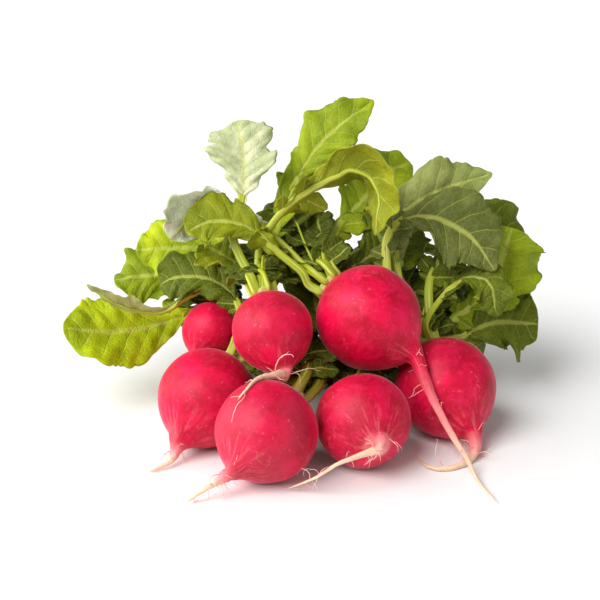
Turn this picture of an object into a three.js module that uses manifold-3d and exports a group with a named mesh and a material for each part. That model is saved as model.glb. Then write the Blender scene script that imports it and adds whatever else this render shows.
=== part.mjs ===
// A bunch of seven round red radishes with their leafy tops, lying on a flat surface.
//
// Millimetres, +Z up. The taproots point towards -Y and the leaves towards +Y, +X and -X.
// The bunch is laid out around the foot of its front left radish, and the finished group is
// moved so that its origin is the middle of the underside of its bounding box.
//
// Each radish is one grown solid, crown to taproot. Each leaf is one grown solid, leaf stalk to tip.

import * as THREE from 'three';
import { mergeVertices } from 'three/addons/utils/BufferGeometryUtils.js';
import Module from 'manifold-3d';

// ---------------------------------------------------------------- driving dimensions

const BULB_SIDES = 16; // corners of a ring around a radish
const TAPROOT_RINGS = 9; // rings along a taproot
const TAPROOT_TIP_RADIUS = 0.35;
const TAPROOT_TAPER = 0.6; // below 1, a taproot thins soonest near the bulb
const CROWN_RIM_AT = -0.95; // rim of the crown, in radii from the bulb's centre along its axis
const CROWN_PIT_AT = -0.9; // bottom of the small hollow in the crown
const REST_FLAT = 0.5; // skin this close to the surface lies flat on it
const CROWN_GAP = 0.9; // between a radish's crown and the foot of a leaf stalk
const FOOT_GAP = 0.7; // between the feet of two leaf stalks
const FOOT_RISE = 5; // a leaf stalk first rises this far from the crown
const FOOT_SPREAD = 1.2; // and leans out by this much on the way

const STALK_RINGS = 6; // rings along a leaf stalk
const BLADE_RINGS = 8; // rings along a leaf blade
const STALK_THINNEST = 0.85; // half the width of the thinnest leaf stalk there could be
const STALK_PER_BLADE = 0.023; // how much half a stalk's width grows with the width of its blade
const STALK_FLATNESS = 0.85; // height of a leaf stalk over its width
const STALK_FOOT_GROWTH = 0.2; // how much wider a leaf stalk is at its foot
const STALK_SHOULDER = 0.72; // where a stalk's corners beside the middle are, as a share of its half width
const BLADE_SHOULDER = 0.5; // the same across a blade
const SHOULDER_HEIGHT = 0.8; // height at those corners over the greatest height
const BLADE_HALF_THICKNESS = 0.4;
const RIB_DEPTH = 1.0; // how far the midrib stands out under the blade, near its base
const RIB_TAPER = 0.75; // how much of its width and depth the midrib loses on the way to the tip
const VEIN_SWEEP = 0.5; // how far forward the side veins run for each millimetre sideways
const SHORTEST_STALK = 0.2; // share of a leaf's length that is always leaf stalk
const EDGE_WAVES = 1.6; // waves of the edge along a blade
const EDGE_LAG = 2.4; // phase between the waves of the two edges, in radians
const LEAF_LAG = 0.37; // share of a wave by which each leaf differs from the one before
const FLOOR_GAP = 0.02; // a leaf stays this far above the surface

const LEAF_CLEARANCE = 0.3; // air kept around a leaf while a place is found for it
const NUDGE_STEP = 2.5; // a leaf gives way to its neighbours in steps of this size
const NUDGE_REACH = 7; // at most this many steps each way
const NUDGE_EASE = 3; // the first points of a leaf's way move less, up to this point

// ---------------------------------------------------------------- the radishes and their leaves

// centre and radius: of the round part. root: the way the taproot points.
// stretch: how much longer than round the root end is. neck: radius where the taproot starts.
// taproot: points that the taproot runs through, to its tip.
// leaves: in the order in which they find their places. See leafSolid for their values.
const RADISHES = [
  {
    name: 'top_left', centre: [-10.5, 31, 46], radius: 15.3, root: [0.22, -0.71, -0.67],
    stretch: 0.08, neck: 2.7, taproot: [[-9, 12, 35.8], [-15, 5, 37.6], [-19, -3, 37], [-22.5, -8, 34.4]],
    leaves: [
      { way: [[-20, 54, 61], [-26, 62, 72], [-23, 72, 83], [-22, 82, 96], [-25, 90, 111]],
        blade: 32, width: 28, face: [0, -0.95, 0.3], fold: 10, curl: 14, wave: 2 },
      { way: [[-16, 54, 60], [-15, 62, 70], [-4, 66, 84], [10, 69, 93], [22, 69, 97], [30, 64, 90],
          [29, 58, 74]],
        blade: 50, width: 27, face: [-0.35, 0.85, 0.4], fold: 10, curl: 14, wave: 1.5 },
      { way: [[-14, 58, 62], [-10, 78, 72], [-5, 90, 84], [6, 97, 100], [27, 102, 116]],
        blade: 46, width: 26, face: [-0.4, -0.8, 0.3], fold: 14, curl: 14, wave: 2 },
      { way: [[-12, 60, 60], [-10, 80, 66], [-16, 100, 68], [-22, 114, 58]],
        blade: 46, width: 32, face: [0, -0.2, 1], fold: 10, curl: 18, wave: 3 },
      { way: [[-22, 60, 62], [-31, 69, 68], [-41, 77, 74]],
        blade: 28, width: 22, face: [0.1, -0.9, 0.5], fold: 8, curl: 12, wave: 2 },
    ],
  },
  {
    name: 'back_left', centre: [-35, 64, 32], radius: 11.9, root: [-0.5, -0.72, -0.48],
    stretch: 0, neck: 1.8, taproot: [[-45, 54, 18], [-44, 59, 8], [-42, 64, 1.5]],
    leaves: [
      { way: [[-34, 83, 38], [-46, 82, 32], [-60, 74, 30], [-76, 65, 31], [-93, 57, 36]],
        blade: 54, width: 32, face: [0, -0.7, 0.7], fold: 10, curl: 14, wave: 2 },
      { way: [[-32, 74, 48], [-42, 68, 46], [-58, 61, 41], [-72, 55, 48], [-82, 50, 57]],
        blade: 40, width: 11, face: [0, 0.6, 0.8], fold: 24, curl: 6, wave: 1 },
      { way: [[-34, 88, 46], [-48, 92, 44], [-60, 93, 45], [-76, 92, 43]],
        blade: 36, width: 26, face: [0, -0.6, 0.8], fold: 10, curl: 16, wave: 2 },
    ],
  },
  {
    name: 'right', centre: [56, 40, 18.9], radius: 19.3, root: [0.4, -0.75, -0.53],
    stretch: 0.1, neck: 3.4,
    taproot: [[66, 16, 3.6], [63, 11, 1.8], [58, 6, 1.5], [52, 4, 1.5], [47, 7, 1.3], [44, 15, 1]],
    leaves: [
      { way: [[38, 72, 58], [38, 80, 72], [46, 84, 79], [60, 86, 85], [76, 84, 91]],
        blade: 46, width: 26, face: [0.1, -0.85, 0.5], fold: 8, curl: 14, wave: 2 },
      { way: [[34, 66, 58], [36, 74, 72], [48, 76, 76], [66, 70, 70], [76, 62, 58]],
        blade: 48, width: 32, face: [0.1, -0.75, 0.65], fold: 8, curl: 14, wave: 2 },
      { way: [[52, 76, 50], [62, 86, 61], [76, 92, 66], [91, 93, 60]],
        blade: 44, width: 30, face: [0.1, -0.6, 0.8], fold: 12, curl: 16, wave: 1.5 },
      { way: [[62, 74, 34], [74, 80, 42], [80, 83, 54], [84, 82, 70]],
        blade: 40, width: 34, face: [0.1, -1, 0.2], fold: 10, curl: 16, wave: 2 },
      { way: [[64, 72, 26], [78, 76, 30], [96, 74, 30]],
        blade: 32, width: 30, face: [0, -0.9, 0.4], fold: 10, curl: 16, wave: 1.5 },
      { way: [[55, 68, 44], [63, 68, 52], [71, 64, 51], [74, 58, 39]],
        blade: 30, width: 17, face: [0, -0.3, 1], fold: 16, curl: 16, wave: 1 },
      { way: [[56, 70, 26], [66, 70, 25], [76, 66, 20]],
        blade: 24, width: 20, face: [0, -0.8, 0.6], fold: 10, curl: 16, wave: 1 },
    ],
  },
  {
    name: 'top_right', centre: [25.5, 42, 47], radius: 19.9, root: [0.7, -0.55, -0.45],
    stretch: 0.12, neck: 3.3,
    taproot: [[47, 22, 29], [51, 17, 21], [57, 12, 11], [62, 5, 5], [65, -6, 1.6], [71, -24, 0.8]],
    leaves: [
      { way: [[3, 58, 60], [-8, 66, 68], [-22, 71, 75], [-38, 69, 76], [-48, 65, 67]],
        blade: 34, width: 24, face: [0, 0.9, 0.4], fold: 10, curl: 16, wave: 2 },
      { way: [[1, 60, 60], [-12, 70, 64], [-32, 80, 65], [-48, 82, 64], [-66, 82, 63]],
        blade: 34, width: 24, face: [0, -0.85, 0.5], fold: 8, curl: 12, wave: 2 },
      { way: [[2, 56, 57], [-8, 64, 62], [-20, 70, 69], [-34, 72, 71], [-44, 70, 67]],
        blade: 32, width: 22, face: [0, -0.6, 0.8], fold: 10, curl: 16, wave: 2 },
      { way: [[8, 66, 62], [16, 84, 70], [28, 102, 77], [38, 112, 84], [46, 118, 85]],
        blade: 46, width: 34, face: [-0.1, -0.7, 0.7], fold: 10, curl: 14, wave: 2 },
      { way: [[6, 66, 58], [4, 82, 62], [-2, 104, 62], [-6, 122, 50]],
        blade: 46, width: 34, face: [0, -0.2, 1], fold: 10, curl: 18, wave: 3 },
      { way: [[10, 66, 56], [22, 84, 58], [38, 104, 58], [52, 118, 46]],
        blade: 46, width: 34, face: [0, -0.2, 1], fold: 10, curl: 18, wave: 3 },
      { way: [[16, 68, 54], [28, 80, 56], [38, 92, 66]],
        blade: 34, width: 30, face: [0, -0.9, 0.5], fold: 8, curl: 12, wave: 2 },
    ],
  },
  {
    name: 'left', centre: [-35, 31, 18.6], radius: 18.8, root: [-0.44, -0.76, -0.48],
    stretch: 0.12, neck: 3.4, taproot: [[-48, 8, 3.2], [-52, 5, 1.6], [-56, 2, 0.8]],
    leaves: [
      { way: [[-24, 62, 42], [-33, 70, 47], [-48, 74, 46], [-56, 76, 42]],
        blade: 36, width: 24, face: [0, -0.5, 0.8], fold: 14, curl: 20, wave: 2 },
      { way: [[-28, 72, 24], [-42, 92, 18], [-54, 110, 7], [-60, 118, 3]],
        blade: 52, width: 34, face: [0, 0, 1], fold: 12, curl: 20, wave: 3 },
      { way: [[-22, 72, 20], [-30, 94, 12], [-36, 112, 4]],
        blade: 50, width: 34, face: [0, 0, 1], fold: 12, curl: 20, wave: 3 },
    ],
  },
  {
    name: 'front_left', centre: [-12, 0, 18.6], radius: 19, root: [-0.58, -0.71, -0.4],
    stretch: 0.04, neck: 3.0, taproot: [[-33, -19, 5.5], [-41, -23, 1]],
    leaves: [
      { way: [[4, 38, 35], [6, 58, 42], [6, 76, 54], [8, 90, 68]],
        blade: 42, width: 32, face: [0, -0.9, 0.5], fold: 10, curl: 14, wave: 2 },
      { way: [[8, 40, 28], [14, 62, 26], [20, 88, 24], [24, 110, 12], [26, 122, 3]],
        blade: 58, width: 36, face: [0, 0, 1], fold: 12, curl: 20, wave: 3 },
      { way: [[-1, 40, 29], [-4, 62, 30], [-10, 88, 34], [-14, 110, 22], [-16, 122, 8]],
        blade: 58, width: 36, face: [0, 0, 1], fold: 12, curl: 20, wave: 3 },
      { way: [[3, 42, 25], [2, 62, 16], [0, 84, 8], [0, 104, 3]],
        blade: 50, width: 34, face: [0, 0, 1], fold: 10, curl: 16, wave: 2 },
    ],
  },
  {
    name: 'front_right', centre: [23.5, 11.5, 17.4], radius: 17.8, root: [0.25, -0.96, -0.1],
    stretch: 0, neck: 1.9, taproot: [[21, -13, 15], [13, -16, 13], [6, -16, 8], [-5, -12, 1]],
    leaves: [
      { way: [[21, 46, 20], [36, 66, 26], [54, 84, 36], [66, 92, 46]],
        blade: 34, width: 26, face: [0, -0.9, 0.5], fold: 8, curl: 12, wave: 2 },
      { way: [[19, 46, 22], [28, 66, 28], [40, 84, 38], [46, 94, 50]],
        blade: 34, width: 28, face: [0, -0.9, 0.5], fold: 8, curl: 12, wave: 2 },
      { way: [[18, 42, 19], [22, 62, 18], [34, 86, 14], [44, 106, 8], [50, 120, 3]],
        blade: 56, width: 36, face: [0, 0, 1], fold: 12, curl: 20, wave: 3 },
      { way: [[20, 42, 17], [26, 60, 12], [40, 74, 9], [56, 84, 6], [66, 92, 3]],
        blade: 46, width: 32, face: [0, 0, 1], fold: 10, curl: 16, wave: 2 },
      { way: [[22, 44, 18], [36, 68, 22], [50, 86, 26], [58, 96, 36], [60, 98, 48]],
        blade: 36, width: 32, face: [0, -0.9, 0.4], fold: 10, curl: 14, wave: 2 },
    ],
  },
];

// ---------------------------------------------------------------- materials

const SKIN = new THREE.MeshStandardMaterial({ color: 0xd3193f, roughness: 0.38, metalness: 0 });
const LEAF = new THREE.MeshStandardMaterial({ color: 0x7f9a2c, roughness: 0.55, metalness: 0 });

// ---------------------------------------------------------------- shared geometry

const DOWN = new THREE.Vector3(0, 0, -1);

function vector([x, y, z]) {
  return new THREE.Vector3(x, y, z);
}

// The part of v that is square to axis, at unit length.
function squareTo(v, axis) {
  return v.clone().addScaledVector(axis, -v.dot(axis)).normalize();
}

// Carries a side direction along a run of tangents without twisting it, both ways from one place.
function carriedSides(tangents, side, from) {
  const sides = [];
  sides[from] = squareTo(side, tangents[from]);
  for (let i = from + 1; i < tangents.length; i++) sides[i] = squareTo(sides[i - 1], tangents[i]);
  for (let i = from - 1; i >= 0; i--) sides[i] = squareTo(sides[i + 1], tangents[i]);
  return sides;
}

// A closed solid through a row of rings, with a point at each end. The rings run counter-clockwise
// seen from the far end. In a thin loft, the second half of each ring is split into triangles along
// the same diagonals as the first half opposite, so that a twist never drives one face through the
// other.
function loft(nearPoint, rings, farPoint, thin = false) {
  const sides = rings[0].length;
  const corners = [nearPoint, ...rings.flat(), farPoint];
  const far = corners.length - 1;
  const at = (ring, side) => 1 + ring * sides + (side % sides);
  const faces = [];
  for (let side = 0; side < sides; side++) {
    faces.push(0, at(0, side + 1), at(0, side));
    for (let ring = 0; ring + 1 < rings.length; ring++) {
      const [a, b] = [at(ring, side), at(ring, side + 1)];
      const [c, d] = [at(ring + 1, side + 1), at(ring + 1, side)];
      if (thin && side >= sides / 2) faces.push(a, b, d, b, c, d);
      else faces.push(a, b, c, a, c, d);
    }
    faces.push(far, at(rings.length - 1, side), at(rings.length - 1, side + 1));
  }
  const geometry = new THREE.BufferGeometry().setFromPoints(corners);
  geometry.setIndex(faces);
  return geometry;
}

// ---------------------------------------------------------------- a radish

// Half the outline of the round part, from the crown to where the taproot starts, as distance along
// the axis and distance from it, both in radii. The root end is longer by the stretch.
const OUTLINE = [
  [CROWN_RIM_AT, 0.1], [CROWN_RIM_AT, 0.2], [-0.87, 0.42], [-0.68, 0.71], [-0.38, 0.92], [-0.02, 1],
  [0.32, 0.95], [0.6, 0.79], [0.82, 0.56], [0.97, 0.34],
];
const NECK_AT = 1.16; // where the taproot starts, in radii from the centre

function crownOf(radish) {
  const axis = vector(radish.root).normalize();
  return vector(radish.centre).addScaledVector(axis, CROWN_RIM_AT * radish.radius);
}

function radishSolid(radish) {
  const axis = vector(radish.root).normalize();
  const centre = vector(radish.centre);
  const alongAxis = (share) => {
    const stretched = share > 0 ? share * (1 + radish.stretch) : share;
    return centre.clone().addScaledVector(axis, stretched * radish.radius);
  };

  const spine = OUTLINE.map(([share]) => alongAxis(share));
  const radii = OUTLINE.map(([, share]) => share * radish.radius);
  const neck = alongAxis(NECK_AT);
  const taproot = new THREE.CatmullRomCurve3([neck, ...radish.taproot.map(vector)], false, 'centripetal');
  for (let i = 0; i < TAPROOT_RINGS; i++) {
    const share = i / TAPROOT_RINGS;
    spine.push(taproot.getPointAt(share));
    radii.push(THREE.MathUtils.lerp(radish.neck, TAPROOT_TIP_RADIUS, share ** TAPROOT_TAPER));
  }
  const tip = taproot.getPointAt(1);

  const tangents = spine.map((_, i) => {
    if (i < OUTLINE.length) return axis.clone();
    return taproot.getTangentAt((i - OUTLINE.length) / TAPROOT_RINGS);
  });
  const sides = carriedSides(tangents, DOWN, 0);
  const rings = spine.map((middle, i) => {
    const across = tangents[i].clone().cross(sides[i]);
    return Array.from({ length: BULB_SIDES }, (_, corner) => {
      const angle = ((corner + 0.5) * 2 * Math.PI) / BULB_SIDES;
      const point = middle.clone()
        .addScaledVector(sides[i], radii[i] * Math.cos(angle))
        .addScaledVector(across, radii[i] * Math.sin(angle));
      const restsBelow = i < OUTLINE.length ? REST_FLAT : 0;
      if (point.z < restsBelow) point.z = 0;
      return point;
    });
  });
  return loft(alongAxis(CROWN_PIT_AT), rings, tip);
}

// ---------------------------------------------------------------- a leaf

// Half the width of a blade along its length, as shares, from base to tip.
function bladeOutline(share) {
  return Math.sin(Math.PI * share ** 1.15) ** 0.62;
}

function stalkHalfWidthOf(bladeWidth) {
  return STALK_THINNEST + STALK_PER_BLADE * bladeWidth;
}

// foot, rise and outward: where the leaf stalk leaves the crown, its direction there, and the way
// out from the middle of the crown.
// way: points that the midrib runs through after the foot, to the tip.
// blade: length of the blade, at the end of the way. width: of the blade at its widest.
// face: the way the upper side faces where the blade starts.
// fold: how steeply the two halves rise from the midrib, in degrees. curl: how much of that they
// lose towards the edge. wave: how far the edge waves up and down. seed: number of the leaf in the
// bunch, which shifts its waves.
// spare: air added all round.
function leafSolid({ foot, rise, outward, way, blade, width, face, fold, curl, wave, seed }, spare = 0) {
  const start = foot.clone().addScaledVector(rise, -spare);
  const lift = foot.clone().addScaledVector(rise, FOOT_RISE)
    .addScaledVector(outward, FOOT_SPREAD);
  const midrib = new THREE.CatmullRomCurve3([start, lift, ...way], false, 'centripetal');
  const bladeFrom = Math.max(SHORTEST_STALK, 1 - blade / midrib.getLength());

  const stalkHalfWidth = stalkHalfWidthOf(width);
  const stalkHalfHeight = stalkHalfWidth * STALK_FLATNESS;

  const stations = [];
  for (let i = 0; i < STALK_RINGS; i++) stations.push((bladeFrom * i) / STALK_RINGS);
  for (let i = 0; i < BLADE_RINGS; i++) {
    stations.push(THREE.MathUtils.lerp(bladeFrom, 1, i / BLADE_RINGS));
  }
  const tangents = stations.map((station) => midrib.getTangentAt(station));
  const normals = carriedSides(tangents, vector(face), STALK_RINGS);

  const rings = stations.map((station, i) => {
    const middle = midrib.getPointAt(station);
    const along = tangents[i];
    const up = normals[i];
    const across = up.clone().cross(along);
    const share = Math.max(0, (station - bladeFrom) / (1 - bladeFrom));
    const stalk = 1 - RIB_TAPER * share;
    const growth = 1 + STALK_FOOT_GROWTH * Math.max(0, 1 - station / bladeFrom) ** 3;
    const stalkWidth = stalkHalfWidth * stalk * growth;
    const bladeWidth = (width / 2) * bladeOutline(share);
    const half = Math.max(stalkWidth, bladeWidth) + spare;
    const flat = THREE.MathUtils.smoothstep(half, stalkWidth + spare, stalkWidth * 2 + spare);

    // reach: -1 and 1 at the edges. height: above the leaf's middle surface. depth: how far the
    // leaf goes below that surface here, which keeps it off the table.
    const point = (reach, height, depth) => {
      const offMiddle = Math.abs(reach);
      const rising = THREE.MathUtils.degToRad(fold + curl * (0.5 - offMiddle)) * flat;
      const phase = 2 * Math.PI * (EDGE_WAVES * share + LEAF_LAG * seed) + (reach > 0 ? 0 : EDGE_LAG);
      const rippled = wave * offMiddle ** 2 * Math.sin(phase) * flat;
      const surface = middle.clone()
        .addScaledVector(across, half * reach * Math.cos(rising))
        .addScaledVector(along, half * offMiddle * VEIN_SWEEP * (1 - share ** 2) * flat)
        .addScaledVector(up, half * offMiddle * Math.sin(rising) + rippled);
      surface.z = Math.max(surface.z, FLOOR_GAP + depth);
      return surface.addScaledVector(up, height);
    };
    const top = THREE.MathUtils.lerp(stalkHalfHeight, BLADE_HALF_THICKNESS, flat) * SHOULDER_HEIGHT + spare;
    const rib = THREE.MathUtils.lerp(stalkHalfHeight, RIB_DEPTH * stalk, flat) + spare;
    const inner = THREE.MathUtils.lerp(STALK_SHOULDER, BLADE_SHOULDER, flat);
    return [
      point(1, 0, 0), point(inner, top, top), point(0, top, rib), point(-inner, top, top),
      point(-1, 0, 0), point(-inner, -top, top), point(0, -rib, rib), point(inner, -top, top),
    ];
  });
  const tip = midrib.getPointAt(1).addScaledVector(tangents.at(-1), spare);
  tip.z = Math.max(tip.z, FLOOR_GAP);
  return loft(start, rings, tip, true);
}

// Where each leaf stalk of a radish leaves the crown: evenly round it, each on the side that its
// own way leads to.
function stalkFeet(radish) {
  const rise = vector(radish.root).normalize().negate();
  const crown = crownOf(radish).addScaledVector(rise, CROWN_GAP);
  const side = squareTo(DOWN, rise);
  const across = rise.clone().cross(side);
  const bearing = (leaf) => {
    const towards = vector(leaf.way[1]).sub(crown);
    return Math.atan2(towards.dot(across), towards.dot(side));
  };
  const count = radish.leaves.length;
  const order = [...radish.leaves].sort((a, b) => bearing(a) - bearing(b));
  const spacing = (2 * Math.PI) / count;
  const lags = order.map((leaf, i) => bearing(leaf) - i * spacing);
  const drift = Math.atan2(
    lags.reduce((sum, lag) => sum + Math.sin(lag), 0),
    lags.reduce((sum, lag) => sum + Math.cos(lag), 0),
  );
  const widest = Math.max(...radish.leaves.map((leaf) => stalkHalfWidthOf(leaf.width)));
  const room = widest * (1 + STALK_FOOT_GROWTH) + FOOT_GAP / 2;
  const ringRadius = room / Math.sin(spacing / 2);
  return radish.leaves.map((leaf) => {
    const angle = drift + order.indexOf(leaf) * spacing;
    const outward = side.clone().multiplyScalar(Math.cos(angle))
      .addScaledVector(across, Math.sin(angle));
    const foot = crown.clone().addScaledVector(outward, ringRadius);
    return { foot, rise, outward };
  });
}

// ---------------------------------------------------------------- finding room for the leaves

const wasm = await Module();
wasm.setup();

function manifoldOf(geometry) {
  const bare = new THREE.BufferGeometry();
  bare.setAttribute('position', geometry.getAttribute('position'));
  bare.setIndex(geometry.getIndex());
  const merged = mergeVertices(bare, 1e-4);
  return new wasm.Manifold(new wasm.Mesh({
    numProp: 3,
    vertProperties: merged.getAttribute('position').array,
    triVerts: new Uint32Array(merged.getIndex().array),
  }));
}

// Every step that a leaf can be moved by, the shortest first.
function nudges() {
  const steps = [];
  for (let x = -NUDGE_REACH; x <= NUDGE_REACH; x++) {
    for (let y = -NUDGE_REACH; y <= NUDGE_REACH; y++) {
      for (let z = -NUDGE_REACH; z <= NUDGE_REACH; z++) {
        steps.push(new THREE.Vector3(x, y, z).multiplyScalar(NUDGE_STEP));
      }
    }
  }
  return steps.sort((a, b) => a.lengthSq() - b.lengthSq());
}

const NUDGES = nudges();
const placed = []; // { name, box, solid } of everything that already has its place

function keep(name, geometry) {
  geometry.computeBoundingBox();
  placed.push({ name, box: geometry.boundingBox, solid: manifoldOf(geometry) });
}

// The first placed piece that the geometry cuts into, if there is one.
function blockerOf(geometry) {
  geometry.computeBoundingBox();
  const near = placed.filter(({ box }) => box.intersectsBox(geometry.boundingBox));
  if (near.length === 0) return undefined;
  const trial = manifoldOf(geometry);
  return near.find(({ solid }) => !trial.intersect(solid).isEmpty());
}

// Moves the far end of a leaf by the smallest step that clears everything placed before it.
function settledLeaf(leaf, name) {
  const way = leaf.way.map(vector);
  const blockers = new Set();
  for (const nudge of NUDGES) {
    const moved = {
      ...leaf,
      way: way.map((point, i) => {
        const share = Math.min(1, (i + 1) / NUDGE_EASE);
        return point.clone().addScaledVector(nudge, share);
      }),
    };
    const blocker = blockerOf(leafSolid(moved, LEAF_CLEARANCE));
    if (!blocker) return moved;
    blockers.add(blocker.name);
  }
  throw new Error(`no room for ${name} between ${[...blockers].join(', ')}`);
}

// ---------------------------------------------------------------- the bunch

function piece(name, geometry, material) {
  geometry.computeVertexNormals();
  const mesh = new THREE.Mesh(geometry, material);
  mesh.name = name;
  return mesh;
}

const bunch = new THREE.Group();

for (const radish of RADISHES) {
  const geometry = radishSolid(radish);
  keep(`radish_${radish.name}`, geometry);
  bunch.add(piece(`radish_${radish.name}`, geometry, SKIN));
}

let seed = 0;
for (const radish of RADISHES) {
  const feet = stalkFeet(radish);
  radish.leaves.forEach((leaf, i) => {
    seed += 1;
    const name = `leaf_${radish.name}_${i + 1}`;
    const geometry = leafSolid(settledLeaf({ ...leaf, ...feet[i], seed }, name));
    keep(name, geometry);
    bunch.add(piece(name, geometry, LEAF));
  });
}

const box = new THREE.Box3().setFromObject(bunch);
const middle = box.getCenter(new THREE.Vector3());
bunch.position.set(-middle.x, -middle.y, -box.min.z);

export default bunch;
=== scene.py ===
"""A bunch of seven red radishes with their leafy tops, grown around its CAD frame.

Every CAD solid is a loft: rings of corners between two end points. The script reads those rings
back, lays a fine skin or a thin lobed blade over them, and adds what the CAD leaves out: crowns,
rootlets, midribs, side veins, ruffled edges and the colours. Lengths are in metres.
"""

import math
import random

import bmesh
import bpy
import numpy as np
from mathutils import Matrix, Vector, noise


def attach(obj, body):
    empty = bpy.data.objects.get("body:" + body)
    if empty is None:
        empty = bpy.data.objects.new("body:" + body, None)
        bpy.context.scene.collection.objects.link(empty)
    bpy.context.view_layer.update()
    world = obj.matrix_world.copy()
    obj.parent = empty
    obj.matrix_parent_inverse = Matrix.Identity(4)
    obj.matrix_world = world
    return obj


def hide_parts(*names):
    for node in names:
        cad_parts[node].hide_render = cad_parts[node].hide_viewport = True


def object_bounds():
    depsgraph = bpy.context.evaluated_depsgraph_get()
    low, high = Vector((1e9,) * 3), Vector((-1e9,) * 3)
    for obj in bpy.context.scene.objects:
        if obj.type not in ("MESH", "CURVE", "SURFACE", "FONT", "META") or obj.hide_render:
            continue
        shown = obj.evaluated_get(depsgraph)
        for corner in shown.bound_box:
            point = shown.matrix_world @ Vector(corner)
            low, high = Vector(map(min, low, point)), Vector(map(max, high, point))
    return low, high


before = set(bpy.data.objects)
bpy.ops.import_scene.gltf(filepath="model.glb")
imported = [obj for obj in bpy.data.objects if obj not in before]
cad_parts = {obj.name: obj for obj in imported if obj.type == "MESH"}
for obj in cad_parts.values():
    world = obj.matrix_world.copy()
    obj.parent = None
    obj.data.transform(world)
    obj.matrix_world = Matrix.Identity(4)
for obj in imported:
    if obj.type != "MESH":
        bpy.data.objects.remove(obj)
packed_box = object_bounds()

MM = 0.001

# ---------------------------------------------------------------- the CAD lofts

RADISH_SIDES = 16  # corners of a CAD ring round a radish
BULB_RINGS = 10  # rings on the round part; the others are on the taproot
WIDEST_RING = 5
LEAF_SIDES = 8  # corners of a CAD ring round a leaf
STALK_RINGS = 6  # rings on a leaf stalk; the others are on the blade
LABEL_RING = 9  # a blade ring wide enough to tell edges from faces
SAME_POINT = 1e-6

# Corners of a leaf ring, counter-clockwise seen from the tip.
RIGHT, TOP_RIGHT, TOP, TOP_LEFT, LEFT, UNDER_LEFT, UNDER, UNDER_RIGHT = range(LEAF_SIDES)

# ---------------------------------------------------------------- sizes

SKIN_ROWS_PER_RING = 7
SKIN_COLUMNS = 96
LUMP_SIZE = 13 * MM
LUMP_HEIGHT = 0.35 * MM
WRINKLE_SHARE = 0.14  # depth of a taproot's furrows, as a share of its radius
TAPROOT_THINNING = 0.24  # how much thinner than its CAD solid a taproot gets

BLADE_ROWS = 108
BLADE_COLUMNS = 26
BLADE_HALF_THICKNESS = 0.16 * MM
WING_LENGTH = 0.1  # a blade runs down its stalk by this share of its length
WING_LENGTH_BY_WIDTH = 0.6  # and by this much more for each share of its width
STALK_CORNERS = 20
STALK_ROWS = 80
STALK_SINK = 3 * MM  # how far a stalk's foot goes into its crown
SIDE_VEINS = 6.5  # side veins on each side of the midrib
VEIN_LEAN = 0.7  # how far a side vein runs on towards the tip, in spacings
PUCKER = 0.32 * MM
VEIN_GROOVE = 0.16 * MM
BLADE_SPREAD = 1.1  # how much wider than its CAD solid a blade may grow between its notches
STALK_FULLNESS = 1.14  # how much thicker than its CAD solid a stalk is
WAVE_SIZE = 15 * MM
WAVE_HEIGHT = 3.0 * MM
CRINKLE_SIZE = 5 * MM
CRINKLE_HEIGHT = 0.9 * MM
LEAFLET_ROWS = 16
LEAFLET_COLUMNS = 8
LEAFLET_WAVE_SIZE = 6 * MM
LEAFLET_WAVE_SHARE = 0.16  # height of a leaflet's waves, as a share of its length
LEAFLET_CRINKLE_SIZE = 2.5 * MM
LEAFLET_CRINKLE_HEIGHT = 0.25 * MM
LEAFLET_PLACES = (0.98, 0.87, 0.75, 0.62)  # of leaflet pairs, as shares of the stalk's length
LEAFLET_MISSING = 0.3  # the share of leaflets that didn't grow
LOWEST_LEAF = 0.1 * MM

CROWN_ROWS = 26
CROWN_COLUMNS = 72
CROWN_DEPTH = 0.14  # how deep a crown's foot lies in its bulb, as a share of the bulb's radius
CROWN_FOOT = 0.3  # radius of that foot, as a share of the bulb's radius
CROWN_STUBS = 4
YOUNG_STALK_LENGTH = (20, 40)  # least and greatest, in mm
YOUNG_BLADE_LENGTH = (16, 26)
YOUNG_SPREAD = 0.24  # how far young leaves lean apart
YOUNG_LIFT = 0.25  # how much they lean up
ROOTLET_STEPS = 16
ROOTLET_THICKNESS = (0.11, 0.24)
ROOTLET_SPREAD = 0.22  # how much a rootlet wanders at each step
ROOTLET_DROOP = 0.1  # how much it bends down at each step
FORKED_ROOTLETS = 0.45

# ---------------------------------------------------------------- colours


def linear(red, green, blue):
    """A screen colour, 0 to 255, as the linear colour that a shader takes."""
    def channel(value):
        value /= 255
        return value / 12.92 if value <= 0.04045 else ((value + 0.055) / 1.055) ** 2.4
    return (channel(red), channel(green), channel(blue), 1)


CRIMSON = linear(218, 0, 60)
DEEP_CRIMSON = linear(174, 0, 36)
ROSE = linear(236, 30, 94)
DULL_ROSE = linear(176, 48, 66)
PINK = linear(244, 138, 140)
PALE_PINK = linear(248, 206, 190)
CREAM = linear(240, 206, 176)
TAN = linear(214, 176, 120)
CROWN_GREEN = linear(168, 182, 84)
VEIN = linear(206, 212, 104)
LEAF_RIM = linear(190, 196, 100)
STALK_GREEN = linear(176, 184, 44)
# Painted shade: a darker brownish olive for the front radishes' stalks, which run through the shaded gap
# between the bulbs.
LOW_STALK_SHADE = linear(118, 108, 8)
STALK_STRIPE = linear(218, 220, 130)
STALK_BLUSH = linear(206, 150, 110)

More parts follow.
